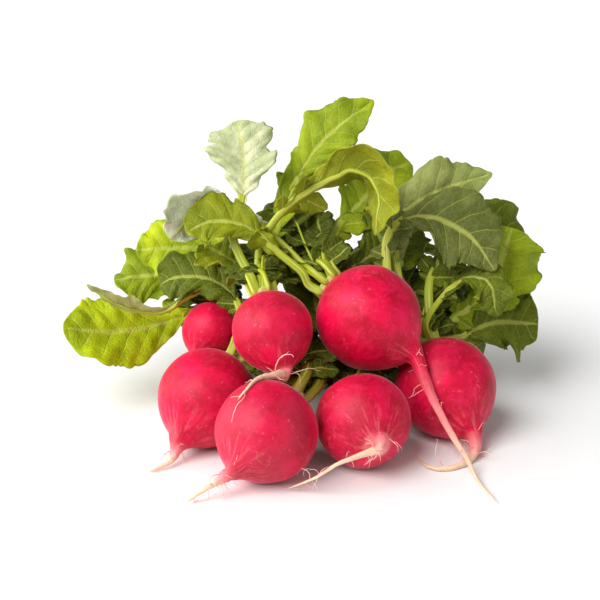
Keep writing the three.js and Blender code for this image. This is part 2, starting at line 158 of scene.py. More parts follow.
# Upper side and underside of each kind of leaf. Some kinds are darkened for painted shade or lightened
# for painted sheen.
LEAF_COLOURS = {
    "spring": (linear(178, 192, 0), linear(190, 200, 56)),
    "fresh": (linear(146, 162, 0), linear(172, 184, 30)),
    # Partly painted sheen: this kind's paler underside is its own, and both sides are lightened towards
    # white to stand in for a white sheen.
    "pale": (linear(222, 224, 186), linear(228, 232, 214)),
    "moss": (linear(136, 144, 0), linear(146, 150, 20)),
    # Partly painted sheen: this kind's grey-green is its own, greyed and paled further to stand in for a
    # pale sheen.
    "grey_green_and_sheen": (linear(144, 150, 84), linear(192, 198, 128)),
    # Partly painted shade: this kind's olive green is its own, darkened further to stand in for the
    # shade over the right-hand leaves.
    "olive_and_shade": (linear(100, 106, 46), linear(140, 146, 66)),
    # Painted shade: this kind is a darker copy of the leaf green, for leaves that lie in the shaded
    # middle of the bunch.
    "deep_shade": (linear(92, 104, 0), linear(124, 132, 16)),
    # Painted shade: this kind is darker still, for the young leaves down inside the crowns.
    "inner": (linear(76, 86, 0), linear(104, 112, 12)),
}

# For each leaf: kind of leaf, depth of the lobes, height of the ruffles in mm, how pointed its tip
# is, and half width of the wings along its stalk over half the blade's width.
LEAF_LOOKS = {
    "top_left_1": ("pale", 0.4, 2.2, 0.0, 0.15),
    "top_left_2": ("moss", 0.26, 2.0, 0.3, 0.25),
    "top_left_3": ("fresh", 0.3, 2.4, 0.5, 0.4),
    "top_left_4": ("fresh", 0.3, 2.4, 0.2, 0.2),
    "top_left_5": ("moss", 0.34, 2.0, 0.0, 0.3),
    "back_left_1": ("spring", 0.26, 1.8, 0.0, 0.15),
    "back_left_2": ("grey_green_and_sheen", 0.12, 0.8, 0.3, 0.15),
    "back_left_3": ("fresh", 0.34, 2.0, 0.0, 0.2),
    "right_1": ("grey_green_and_sheen", 0.24, 2.0, 0.5, 0.3),
    "right_2": ("olive_and_shade", 0.24, 2.2, 0.5, 0.3),
    "right_3": ("deep_shade", 0.3, 2.4, 0.2, 0.2),
    "right_4": ("fresh", 0.24, 2.2, 0.0, 0.2),
    "right_5": ("deep_shade", 0.24, 2.2, 0.0, 0.2),
    "right_6": ("deep_shade", 0.24, 1.6, 0.2, 0.3),
    "right_7": ("deep_shade", 0.3, 1.6, 0.0, 0.2),
    "top_right_1": ("pale", 0.3, 1.8, 0.0, 0.15),
    "top_right_2": ("spring", 0.3, 2.0, 0.0, 0.15),
    "top_right_3": ("moss", 0.34, 2.0, 0.1, 0.3),
    "top_right_4": ("fresh", 0.3, 2.2, 0.2, 0.15),
    "top_right_5": ("moss", 0.3, 2.4, 0.2, 0.2),
    "top_right_6": ("deep_shade", 0.3, 2.4, 0.2, 0.2),
    "top_right_7": ("deep_shade", 0.3, 2.2, 0.0, 0.3),
    "left_1": ("deep_shade", 0.34, 2.0, 0.0, 0.1),
    "left_2": ("fresh", 0.3, 2.4, 0.2, 0.1),
    "left_3": ("deep_shade", 0.3, 2.4, 0.2, 0.1),
    # The front radishes' leaves lie in the shaded middle of the bunch, so they take the darker kind:
    # painted shade.
    "front_left_1": ("deep_shade", 0.3, 2.0, 0.2, 0.1),
    "front_left_2": ("deep_shade", 0.3, 2.4, 0.2, 0.1),
    "front_left_3": ("deep_shade", 0.3, 2.4, 0.1, 0.1),
    "front_left_4": ("deep_shade", 0.3, 2.0, 0.2, 0.1),
    "front_right_1": ("deep_shade", 0.3, 2.0, 0.1, 0.3),
    "front_right_2": ("deep_shade", 0.3, 2.0, 0.2, 0.3),
    "front_right_3": ("deep_shade", 0.3, 2.4, 0.2, 0.2),
    "front_right_4": ("deep_shade", 0.3, 2.2, 0.1, 0.2),
    "front_right_5": ("deep_shade", 0.3, 2.0, 0.1, 0.3),
}

# For each radish: where its red starts to fade towards the taproot and where it is all cream,
# as shares of the way from crown to tip; and how dull its red is, 0 to 1.
RADISH_LOOKS = {
    "top_left": (0.50, 0.62, 0.15),
    "back_left": (0.52, 0.62, 0.1),
    "right": (0.53, 0.70, 0.1),
    "top_right": (0.56, 0.84, 0.0),
    "left": (0.52, 0.76, 0.2),
    "front_left": (0.51, 0.74, 0.55),
    "front_right": (0.49, 0.58, 0.3),
}

# How many small inner leaves grow from a crown, and how strongly they lean to the back.
YOUNG_LEAVES = {
    "top_left": (7, 2.2),
    "top_right": (8, 0.75),
    "right": (9, 0.75),
    "front_right": (7, 0.75),
    "front_left": (5, 0.75),
    "back_left": (5, 0.75),
}

# How many side roots each radish has, and the length of the longest in mm.
ROOTLETS = {
    "top_left": (12, 15),
    "back_left": (6, 9),
    "right": (10, 15),
    "top_right": (9, 12),
    "left": (5, 8),
    "front_left": (16, 12),
    "front_right": (14, 13),
}

# ---------------------------------------------------------------- reading the lofts


def layers_from(pole):
    """The corners of a shell in layers, by how many edges they are from its pole."""
    seen = {pole}
    layers = [[pole]]
    while layers[-1]:
        beyond = []
        for corner in layers[-1]:
            for edge in corner.link_edges:
                other = edge.other_vert(corner)
                if other not in seen:
                    seen.add(other)
                    beyond.append(other)
        layers.append(beyond)
    return layers[:-1]


def walked(layer):
    """The corners of one ring in the order in which its edges join them."""
    ring = [layer[0]]
    left = set(layer[1:])
    while left:
        following = [e.other_vert(ring[-1]) for e in ring[-1].link_edges]
        step = next(corner for corner in following if corner in left)
        ring.append(step)
        left.remove(step)
    return np.array([corner.co[:] for corner in ring])


def turned_to_match(ring, before):
    """The ring started at the corner that lies nearest to the start of the ring before it."""
    def misfit(start):
        turned = np.roll(ring, -start, axis=0)
        return np.sum((turned - turned.mean(0) - before + before.mean(0)) ** 2)
    return np.roll(ring, -min(range(len(ring)), key=misfit), axis=0)


def loft_of(node, sides):
    """Near end point, rings (ring, corner, xyz) and far end point of a lofted CAD solid. The rings
    run counter-clockwise seen from the far end, and each starts next to the one before it."""
    shell = bmesh.new()
    shell.from_mesh(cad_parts[node].data)
    bmesh.ops.remove_doubles(shell, verts=shell.verts, dist=SAME_POINT)
    found = []
    for pole in shell.verts:
        if len(pole.link_edges) != sides:
            continue
        layers = layers_from(pole)
        if len(layers[-1]) == 1 and all(len(layer) == sides for layer in layers[1:-1]):
            near = np.array(pole.co[:])
            rings = [walked(layer) for layer in layers[1:-1]]
            far = np.array(layers[-1][0].co[:])
            found.append((np.linalg.norm(rings[0].mean(0) - near), near, rings, far))
    if not found:
        raise ValueError(f"{node} is not a loft with {sides} corners to a ring")
    _, near, rings, far = min(found, key=lambda loft: loft[0])
    shell.free()

    middles = [ring.mean(0) for ring in rings] + [far]
    for i, ring in enumerate(rings):
        spokes = ring - middles[i]
        turn = np.cross(spokes, np.roll(spokes, -1, axis=0)).sum(0)
        if turn @ (middles[i + 1] - middles[i]) < 0:
            rings[i] = ring[::-1]
    for i in range(1, len(rings)):
        rings[i] = turned_to_match(rings[i], rings[i - 1])
    return near, np.array(rings), far


def leaf_loft(node):
    """The loft of a leaf, with the corners of its rings in the order RIGHT to UNDER_RIGHT."""
    foot, rings, tip = loft_of(node, LEAF_SIDES)
    label = rings[LABEL_RING]
    spans = [np.linalg.norm(label[i] - label[i + LEAF_SIDES // 2]) for i in range(LEAF_SIDES // 2)]
    rings = np.roll(rings, -int(np.argmax(spans)), axis=1)

    # The halves rise from the midrib, and the midrib stands out below, so both faces dip there.
    dip = 0
    for ring in rings[STALK_RINGS + 1:]:
        up = ring[TOP] - ring[UNDER]
        dip += up @ (ring[TOP] - (ring[TOP_RIGHT] + ring[TOP_LEFT]) / 2)
        dip += up @ (ring[UNDER] - (ring[UNDER_RIGHT] + ring[UNDER_LEFT]) / 2)
    if dip > 0:
        rings = np.roll(rings, LEAF_SIDES // 2, axis=1)
    return foot, rings, tip


# ---------------------------------------------------------------- curves and grids


def spline(rows, at):
    """Smooth values between rows, read at row numbers that may lie between two rows."""
    at = np.clip(at, 0, len(rows) - 1)
    index = np.minimum(at.astype(int), len(rows) - 2)
    part = (at - index).reshape((-1,) + (1,) * (rows.ndim - 1))
    ends = [2 * rows[:1] - rows[1:2], rows, 2 * rows[-1:] - rows[-2:-1]]
    padded = np.concatenate(ends)
    a, b, c, d = (padded[index + k] for k in range(4))
    return 0.5 * (2 * b + (c - a) * part + (2 * a - 5 * b + 4 * c - d) * part ** 2
                  + (3 * b - a - 3 * c + d) * part ** 3)


def ring_spline(rings, at):
    """Smooth values round closed rings, read at corner numbers."""
    count = rings.shape[1]
    index = np.floor(at).astype(int)
    part = (at - index)[None, :, None]
    a, b, c, d = (rings[:, (index + k - 1) % count] for k in range(4))
    return 0.5 * (2 * b + (c - a) * part + (2 * a - 5 * b + 4 * c - d) * part ** 2
                  + (3 * b - a - 3 * c + d) * part ** 3)


def unit(vectors):
    length = np.linalg.norm(vectors, axis=-1, keepdims=True)
    return vectors / np.maximum(length, 1e-12)


def smooth_step(low, high, value):
    share = np.clip((value - low) / (high - low), 0, 1)
    return share * share * (3 - 2 * share)


def grid_normals(points):
    """Unit normal at every point of a grid."""
    return unit(np.cross(np.gradient(points, axis=0), np.gradient(points, axis=1)))


def rough(points, size, seed):
    """Smooth noise from -1 to 1 at every point of a grid, with bumps of about that size."""
    shift = Vector((seed * 17.3, seed * 5.1, seed * 9.7))
    flat = points.reshape(-1, 3) / size
    values = [noise.noise(Vector(p) + shift) for p in flat]
    return np.array(values).reshape(points.shape[:-1])


def add_shell(mesh, points, uv, upper=None, finish=0):
    """Adds a closed shell to a bmesh from a grid of points whose columns meet round the back and
    whose first and last rows each come to a point."""
    rows, columns = points.shape[:2]
    shell = bmesh.new()
    bmesh.ops.create_grid(shell, x_segments=columns - 1, y_segments=rows - 1, size=1)
    uv_layer = shell.loops.layers.uv.new("UVMap")
    upper_layer = shell.verts.layers.float.new("upper")
    flat = points.reshape(-1, 3)
    flat_uv = uv.reshape(-1, 2)
    sides = np.ones(len(flat)) if upper is None else upper.reshape(-1)
    shell.verts.ensure_lookup_table()
    for vert, place, side in zip(shell.verts, flat, sides):
        vert.co = place
        vert[upper_layer] = side
    shell.verts.index_update()
    for face in shell.faces:
        face.smooth = True
        face.material_index = finish
        for loop in face.loops:
            loop[uv_layer].uv = flat_uv[loop.vert.index]
    bmesh.ops.remove_doubles(shell, verts=shell.verts, dist=SAME_POINT)
    bmesh.ops.dissolve_degenerate(shell, edges=shell.edges, dist=SAME_POINT)
    bmesh.ops.recalc_face_normals(shell, faces=shell.faces)
    if shell.calc_volume(signed=True) < 0:
        bmesh.ops.reverse_faces(shell, faces=shell.faces)
    part = bpy.data.meshes.new("shell")
    shell.to_mesh(part)
    shell.free()
    mesh.from_mesh(part)
    bpy.data.meshes.remove(part)


def piece_of(mesh, name, materials):
    """Makes a bmesh a piece of the object that rides on its one body."""
    data = bpy.data.meshes.new(name)
    mesh.to_mesh(data)
    mesh.free()
    for material in materials:
        data.materials.append(material)
    piece = bpy.data.objects.new(name, data)
    bpy.context.scene.collection.objects.link(piece)
    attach(piece, "root")
    return piece


def tube(mesh, spine, widths, heights, ups, finish=0, corners=STALK_CORNERS, groove=0.0):
    """Adds a closed tube along a spine. Its sections are ellipses, with a groove along the top.
    Where the spine comes too near the floor, the tube lies on the floor."""
    spine = spine.copy()
    spine[:, 2] = np.maximum(spine[:, 2], np.maximum(widths, heights))
    along = unit(np.gradient(spine, axis=0))
    across = unit(np.cross(ups, along))
    ups = np.cross(along, across)
    angle = np.linspace(0, 2 * math.pi, corners + 1)
    angle[-1] = 0
    sideways = np.cos(angle)
    upward = np.sin(angle)
    upward = np.where(upward > 0, upward * (1 - groove * np.exp(-(sideways / 0.5) ** 2)), upward)
    points = (spine[:, None] + across[:, None] * (widths[:, None] * sideways)[..., None]
              + ups[:, None] * (heights[:, None] * upward)[..., None])
    points[0] = spine[0]
    points[-1] = spine[-1]
    run = np.concatenate([[0], np.cumsum(np.linalg.norm(np.diff(spine, axis=0), axis=1))])
    uv = np.stack(np.broadcast_arrays(
        np.linspace(0, 1, corners + 1)[None, :], (run / run[-1])[:, None]), axis=-1)
    add_shell(mesh, points, uv, finish=finish)


# ---------------------------------------------------------------- node helpers


class Shading:
    """Builds one node material, a call for each node."""

    def __init__(self, name):
        self.material = bpy.data.materials.new(name)
        self.material.use_nodes = True
        self.nodes = self.material.node_tree.nodes
        self.links = self.material.node_tree.links
        self.shader = self.nodes["Principled BSDF"]
        self.coords = self.nodes.new("ShaderNodeTexCoord")

    def feed(self, socket, value):
        if isinstance(value, bpy.types.NodeSocket):
            self.links.new(value, socket)
        else:
            socket.default_value = value

    def math(self, operation, *values, clamp=False):
        node = self.nodes.new("ShaderNodeMath")
        node.operation = operation
        node.use_clamp = clamp
        for socket, value in zip(node.inputs, values):
            self.feed(socket, value)
        return node.outputs[0]

    def stretch(self, value, low, high, to_low=0.0, to_high=1.0):
        """The value rescaled smoothly from low..high to to_low..to_high."""
        node = self.nodes.new("ShaderNodeMapRange")
        node.interpolation_type = "SMOOTHSTEP"
        for socket, given in zip(node.inputs, (value, low, high, to_low, to_high)):
            self.feed(socket, given)
        return node.outputs[0]

    def mix(self, share, first, second, blend="MIX"):
        node = self.nodes.new("ShaderNodeMix")
        node.data_type = "RGBA"
        node.blend_type = blend
        self.feed(node.inputs["Factor"], share)
        self.feed(node.inputs[6], first)
        self.feed(node.inputs[7], second)
        return node.outputs[2]

    def noise(self, scale, detail=2.0, roughness=0.5, stretch=(1, 1, 1), coords="Object", shift=0):
        mapping = self.nodes.new("ShaderNodeMapping")
        mapping.inputs["Scale"].default_value = stretch
        mapping.inputs["Location"].default_value = (shift, shift * 0.7, shift * 0.3)
        self.links.new(self.coords.outputs[coords], mapping.inputs["Vector"])
        node = self.nodes.new("ShaderNodeTexNoise")
        node.inputs["Scale"].default_value = scale
        node.inputs["Detail"].default_value = detail
        node.inputs["Roughness"].default_value = roughness
        self.links.new(mapping.outputs[0], node.inputs["Vector"])
        return node.outputs["Fac"]

    def cells(self, scale, coords="Object"):
        """Distance to the nearest border between small irregular cells."""
        node = self.nodes.new("ShaderNodeTexVoronoi")
        node.feature = "DISTANCE_TO_EDGE"
        node.inputs["Scale"].default_value = scale
        self.links.new(self.coords.outputs[coords], node.inputs["Vector"])
        return node.outputs["Distance"]

    def ramp(self, value, stops):
        node = self.nodes.new("ShaderNodeValToRGB")
        elements = node.color_ramp.elements
        while len(elements) < len(stops):
            elements.new(0.5)
        for element, (place, colour) in zip(elements, stops):
            element.position = place
            element.color = colour
        self.links.new(value, node.inputs[0])
        return node.outputs[0]

    def uv(self):
        node = self.nodes.new("ShaderNodeSeparateXYZ")
        self.links.new(self.coords.outputs["UV"], node.inputs[0])
        return node.outputs[0], node.outputs[1]

    def attribute(self, name):
        node = self.nodes.new("ShaderNodeAttribute")
        node.attribute_name = name
        return node.outputs["Fac"]

    def bump(self, height, strength, depth):
        node = self.nodes.new("ShaderNodeBump")
        node.inputs["Strength"].default_value = strength
        node.inputs["Distance"].default_value = depth
        self.links.new(height, node.inputs["Height"])
        return node.outputs[0]

    def finish(self, **sockets):
        for name, value in sockets.items():
            self.feed(self.shader.inputs[name.replace("_", " ")], value)
        return self.material


# ---------------------------------------------------------------- finishes


def radish_finish(name, fade_from, fade_to, dullness, seed):
    """Crimson skin that fades through pink to a cream taproot. It has soft mottling, a fine grain,
    hairline scars, small pale flecks and pale rays round the root."""
    s = Shading(name)
    _, along = s.uv()
    clouds = s.noise(85, 3, 0.55, shift=seed)
    wander = s.math("MULTIPLY", s.math("SUBTRACT", s.noise(260, 3, 0.6, shift=seed + 3), 0.5), 0.055)
    place = s.math("ADD", along, wander)

    red = s.mix(s.stretch(clouds, 0.35, 0.7), DEEP_CRIMSON, CRIMSON)
    patches = s.stretch(s.noise(120, 3, 0.6, shift=seed + 8), 0.48, 0.76, 0, 0.42)
    red = s.mix(patches, red, ROSE)
    grain = s.stretch(s.noise(430, 4, 0.7, shift=seed + 17), 0.42, 0.7, 0, 0.4)
    red = s.mix(grain, red, ROSE)
    dull = s.stretch(s.noise(30, 2, 0.5, shift=seed + 15), 0.42, 0.62, 0, dullness)
    red = s.mix(dull, red, DULL_ROSE)
    lines = s.noise(1, 3, 0.6, stretch=(7, 150, 1), coords="UV", shift=seed + 5)
    red = s.mix(s.stretch(lines, 0.56, 0.8, 0, 0.35), red, ROSE)

    scar = s.math("ABSOLUTE", s.math("SUBTRACT", s.noise(150, 4, 0.6, shift=seed + 11), 0.5))
    scar_line = s.stretch(scar, 0.0, 0.012, 1, 0)
    where = s.stretch(s.noise(60, 1, 0.5, shift=seed + 13), 0.58, 0.7, 0, 0.4)
    red = s.mix(s.math("MULTIPLY", scar_line, where), red, PINK)

    near_root = s.stretch(place, fade_from - 0.15, fade_from, 0, 0.28)
    rays = s.stretch(s.noise(1, 4, 0.65, stretch=(34, 9, 1), coords="UV", shift=seed), 0.5, 0.66)
    red = s.mix(s.math("MULTIPLY", rays, near_root), red, PINK)
    flecks = s.stretch(s.noise(560, 3, 0.6, shift=seed + 21), 0.62, 0.76, 0, 0.3)
    red = s.mix(flecks, red, PINK)

    fade = s.ramp(place, [
        (0.0, (1, 1, 1, 1)), (0.045, (0.7, 0.7, 0.7, 1)), (0.08, (0, 0, 0, 1)),
        (fade_from, (0, 0, 0, 1)), ((fade_from + fade_to) / 2, (0.5, 0.5, 0.5, 1)),
        (fade_to, (1, 1, 1, 1)),
    ])
    pale = s.mix(s.stretch(along, 0.05, 0.2), CROWN_GREEN, CREAM)
    pale = s.mix(s.stretch(s.noise(420, 3, 0.6, shift=seed), 0.5, 0.75, 0, 0.55), pale, TAN)
    colour = s.mix(s.stretch(fade, 0.0, 0.55), red, PINK)
    colour = s.mix(s.stretch(fade, 0.4, 1.0), colour, pale)

    wrinkles = s.noise(1, 4, 0.6, stretch=(5, 220, 1), coords="UV", shift=seed + 2)
    fine = s.noise(900, 2, 0.5, shift=seed)
    height = s.math("ADD", s.math("MULTIPLY", wrinkles, 0.7), s.math("MULTIPLY", fine, 0.5))
    rough_part = s.stretch(s.noise(120, 3, 0.6, shift=seed + 4), 0.3, 0.75, 0.4, 0.54)
    return s.finish(
        Base_Color=colour,
        Roughness=s.math("ADD", rough_part, s.stretch(fade, 0.2, 1, 0, 0.22)),
        Specular_IOR_Level=0.1,
        Coat_Weight=0.26,
        Coat_Roughness=0.45,
        Subsurface_Weight=0.12,
        Subsurface_Radius=(1.0, 0.2, 0.2),
        Subsurface_Scale=0.003,
        Sheen_Weight=0.3,
        Sheen_Roughness=0.25,
        Sheen_Tint=(1.0, 0.62, 0.84, 1),
        Normal=s.bump(height, 0.22, 0.0006),
    )


def rootlet_finish():
    """Hair-fine side roots, cream with pink near the skin."""
    s = Shading("fine_roots")
    _, along = s.uv()
    colour = s.mix(s.stretch(along, 0.0, 0.5), PINK, PALE_PINK)
    colour = s.mix(s.stretch(s.noise(700, 2), 0.5, 0.8, 0, 0.4), colour, CREAM)
    return s.finish(Base_Color=colour, Roughness=0.55, Subsurface_Weight=0.2,
                    Subsurface_Radius=(1.0, 0.6, 0.4), Subsurface_Scale=0.001)


def crown_finish():
    """Cream-green crown with brown scars where old leaves came off."""
    s = Shading("crown")
    _, along = s.uv()
    colour = s.mix(s.stretch(along, 0.2, 0.6), ROSE, CROWN_GREEN)
    colour = s.mix(s.stretch(s.noise(380, 3, 0.6), 0.56, 0.74, 0, 0.4), colour, TAN)
    height = s.noise(1, 3, 0.6, stretch=(26, 8, 1), coords="UV")
    return s.finish(Base_Color=colour, Roughness=0.55, Subsurface_Weight=0.15,
                    Subsurface_Radius=(1.0, 0.8, 0.4), Subsurface_Scale=0.002,
                    Normal=s.bump(height, 0.5, 0.001))


def stalk_finish(name, base, blush):
    """Juicy ribbed leaf stalk with darker and pale stripes, and a blush near its foot."""
    s = Shading(name)
    _, along = s.uv()
    stripes = s.noise(1, 3, 0.55, stretch=(16, 2.5, 1), coords="UV", shift=3)
    dark = (base[0] * 0.62, base[1] * 0.7, base[2] * 0.6, 1)
    colour = s.mix(s.stretch(stripes, 0.35, 0.52), dark, base)
    colour = s.mix(s.stretch(stripes, 0.54, 0.72, 0, 0.7), colour, STALK_STRIPE)
    colour = s.mix(s.stretch(along, 0.02, 0.1, blush, 0), colour, STALK_BLUSH)
    height = s.math("ADD", stripes, s.math("MULTIPLY", s.noise(1500, 2), 0.3))
    return s.finish(Base_Color=colour, Roughness=0.4, Subsurface_Weight=0.18,
                    Subsurface_Radius=(0.6, 1.0, 0.2), Subsurface_Scale=0.0015,
                    Normal=s.bump(height, 0.35, 0.0005))


def leaf_finish(name, upper_colour, under_colour):
    """Soft crinkled blade: pale side veins and a net of finer ones, mottled, paler underneath."""
    s = Shading(name)
    along, across = s.uv()
    off_middle = s.math("ABSOLUTE", s.math("SUBTRACT", s.math("MULTIPLY", across, 2.0), 1.0))
    right_half = s.math("GREATER_THAN", across, 0.5)
    phase = s.math("MULTIPLY", along, SIDE_VEINS)
    phase = s.math("SUBTRACT", phase, s.math("MULTIPLY", off_middle, VEIN_LEAN))
    phase = s.math("ADD", phase, s.math("MULTIPLY", right_half, 0.5))
    bend = s.math("MULTIPLY", s.math("SUBTRACT", s.noise(90, 2), 0.5), 0.35)
    phase = s.math("ADD", phase, bend)
    to_vein = s.math("ABSOLUTE", s.math("SUBTRACT", s.math("FRACT", phase), 0.5))
    vein = s.stretch(to_vein, 0.012, 0.06, 1, 0)
    vein = s.math("MULTIPLY", vein, s.stretch(off_middle, 0.55, 1.0, 1, 0))
    rib = s.stretch(off_middle, 0.03, 0.11, 1, 0)
    net = s.stretch(s.cells(420), 0.02, 0.12, 1, 0)
    fine_net = s.stretch(s.cells(1100), 0.03, 0.16, 1, 0)

    upper = s.stretch(s.attribute("upper"), 0.4, 0.6)
    colour = s.mix(upper, under_colour, upper_colour)
    shade = s.stretch(s.noise(70, 4, 0.65, shift=2), 0.34, 0.66, 0, 1)
    darker = s.mix(1.0, colour, (0.62, 0.68, 0.55, 1), "MULTIPLY")
    colour = s.mix(shade, darker, colour)
    light = s.stretch(s.noise(150, 4, 0.65, shift=6), 0.52, 0.76, 0, 0.3)
    lighter = s.mix(1.0, colour, (1.7, 1.5, 1.5, 1), "MULTIPLY")
    colour = s.mix(light, colour, lighter)
    colour = s.mix(s.math("MULTIPLY", fine_net, 0.03), colour, VEIN)
    colour = s.mix(s.math("MULTIPLY", net, 0.06), colour, VEIN)
    colour = s.mix(s.math("MULTIPLY", vein, 0.24), colour, VEIN)
    colour = s.mix(s.math("MULTIPLY", rib, 0.45), colour, VEIN)
    rim = s.stretch(off_middle, 0.965, 1.0, 0, 0.4)
    colour = s.mix(rim, colour, LEAF_RIM)

    height = s.math("ADD", s.math("MULTIPLY", net, -0.55), s.math("MULTIPLY", fine_net, -0.25))
    height = s.math("ADD", height, s.math("MULTIPLY", vein, -0.9))
    height = s.math("ADD", height, s.math("MULTIPLY", s.noise(600, 3, 0.6), 0.5))
    return s.finish(
        Base_Color=colour,
        Roughness=s.stretch(s.noise(200, 3, 0.6, shift=9), 0.3, 0.7, 0.42, 0.6),
        Specular_IOR_Level=0.18,
        Subsurface_Weight=0.25,
        Subsurface_Radius=(0.7, 1.0, 0.15),
        Subsurface_Scale=0.0008,
        Normal=s.bump(height, 0.5, 0.0006),
    )


# ---------------------------------------------------------------- a radish


def radish_skin(node, name, seed):
    """A fine skin over a radish's rings, lumpy on the bulb and furrowed along the taproot."""
    crown, rings, tip = loft_of(node, RADISH_SIDES)
    ends = [np.repeat(point[None, None], RADISH_SIDES, axis=1) for point in (crown, tip)]
    rings = np.concatenate([ends[0], rings, ends[1]])
    last = len(rings) - 1
    at_rows = np.linspace(0, last, last * SKIN_ROWS_PER_RING + 1)
    at_columns = np.linspace(0, RADISH_SIDES, SKIN_COLUMNS + 1)
    points = ring_spline(spline(rings, at_rows), at_columns)
    points[:, -1] = points[:, 0]

    middles = points[:, :-1].mean(1, keepdims=True)
    spokes = points - middles
    radius = np.linalg.norm(spokes, axis=-1, keepdims=True)
    on_root = smooth_step(BULB_RINGS - 0.5, BULB_RINGS + 2.0, at_rows)[:, None]
    lumps = rough(points, LUMP_SIZE, seed) * LUMP_HEIGHT
    lumps += rough(points, LUMP_SIZE / 4, seed + 1) * LUMP_HEIGHT / 4
    angle = at_columns / RADISH_SIDES * 2 * math.pi
    furrow_place = np.stack(np.broadcast_arrays(
        1.6 * np.cos(angle)[None], 1.6 * np.sin(angle)[None], at_rows[:, None] * 1.1), axis=-1)
    furrows = rough(furrow_place, 1.0, seed + 2) * WRINKLE_SHARE * radius[..., 0]
    ringed = rough(np.stack(np.broadcast_arrays(
        0.3 * np.cos(angle)[None], 0.3 * np.sin(angle)[None], at_rows[:, None] * 3.2), axis=-1),
        1.0, seed + 3) * 0.12 * radius[..., 0]
    shift = lumps * (1 - on_root) + (furrows + ringed) * on_root
    points = points + unit(spokes) * shift[..., None]
    thinner = 1 - TAPROOT_THINNING * smooth_step(BULB_RINGS + 0.5, BULB_RINGS + 4, at_rows)
    low = points[..., 2].min(1)
    points = middles + (points - middles) * thinner[:, None, None]
    points[..., 2] += (low - points[..., 2].min(1))[:, None]
    points[0] = crown
    points[-1] = tip
    points[..., 2] = np.maximum(points[..., 2], 0)
    points[:, -1] = points[:, 0]

    uv = np.stack(np.broadcast_arrays(
        (at_columns / RADISH_SIDES)[None], (at_rows / last)[:, None]), axis=-1)
    mesh = bmesh.new()
    add_shell(mesh, points, uv)
    fade_from, fade_to, dullness = RADISH_LOOKS[name]
    finish = radish_finish(f"{name}_skin", fade_from, fade_to, dullness, seed * 1.7)
    piece = piece_of(mesh, f"skin_{name}", [finish])
    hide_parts(node)
    return {"crown": crown, "rings": rings, "tip": tip}


def bulb_of(radish):
    """Centre and radius of the round part of a radish."""
    ring = radish["rings"][WIDEST_RING + 1]
    centre = ring.mean(0)
    return centre, np.linalg.norm(ring - centre, axis=1).mean()


# ---------------------------------------------------------------- a leaf


def blade_outline(share):
    """Half the width of a blade with an even edge, over its greatest half width."""
    return np.sin(math.pi * np.clip(share, 0, 1) ** 1.15) ** 0.62


def lobed(share, side, depth, seed):
    """How much of its width a blade keeps where its edge is cut into rounded lobes."""
    rng = random.Random(seed * 2 + side)
    count = rng.uniform(2.7, 3.7)
    start = rng.uniform(0, 1)
    wander = 0.12 * np.sin(2 * math.pi * (share * rng.uniform(1.2, 1.9) + rng.random()))
    beat = np.abs(np.sin(math.pi * (count * share ** 0.85 + start + wander))) ** 0.5
    cut = np.clip(depth * (1.35 - 0.8 * share), 0, 0.7)
    cut = cut * (1 + 0.45 * np.sin(2 * math.pi * (share * rng.uniform(0.8, 1.6) + rng.random())))
    teeth = np.abs(np.sin(math.pi * (count * 2.6 * share + start + 3 * wander))) ** 0.7
    return BLADE_SPREAD - cut * (1 - beat) - 0.08 * (1 - teeth), count, start


def add_blade(mesh, surface, share, across, ups):
    """Adds a thin closed blade over a grid that runs from its base to its tip. The share and
    across values of its rows and columns go into its UV map, for the veins."""
    surface = surface.copy()
    surface[..., 2] = np.maximum(surface[..., 2], LOWEST_LEAF + BLADE_HALF_THICKNESS)
    normals = grid_normals(surface)
    if np.sum(normals * ups[:, None]) < 0:
        normals = -normals
    thickness = (BLADE_HALF_THICKNESS * np.sqrt(1 - np.abs(across) ** 6))[None, :, None]
    above = surface + normals * thickness
    below = surface - normals * thickness
    wrap = np.concatenate([above, below[:, ::-1][:, 1:]], axis=1)
    wrap[0] = surface[0, len(across) // 2]
    wrap[-1] = surface[-1, len(across) // 2]
    wrap[:, -1] = wrap[:, 0]
    wrap[..., 2] = np.maximum(wrap[..., 2], LOWEST_LEAF / 2)
    across_wrap = np.concatenate([across, across[::-1][1:]])
    upper = np.concatenate([np.ones(len(across)), np.zeros(len(across) - 1)])
    upper[0] = upper[len(across) - 1] = upper[-1] = 0.5
    uv = np.stack(np.broadcast_arrays(
        share[:, None], (across_wrap / 2 + 0.5)[None, :]), axis=-1)
    add_shell(mesh, wrap, uv, upper=np.broadcast_to(upper, wrap.shape[:2]))


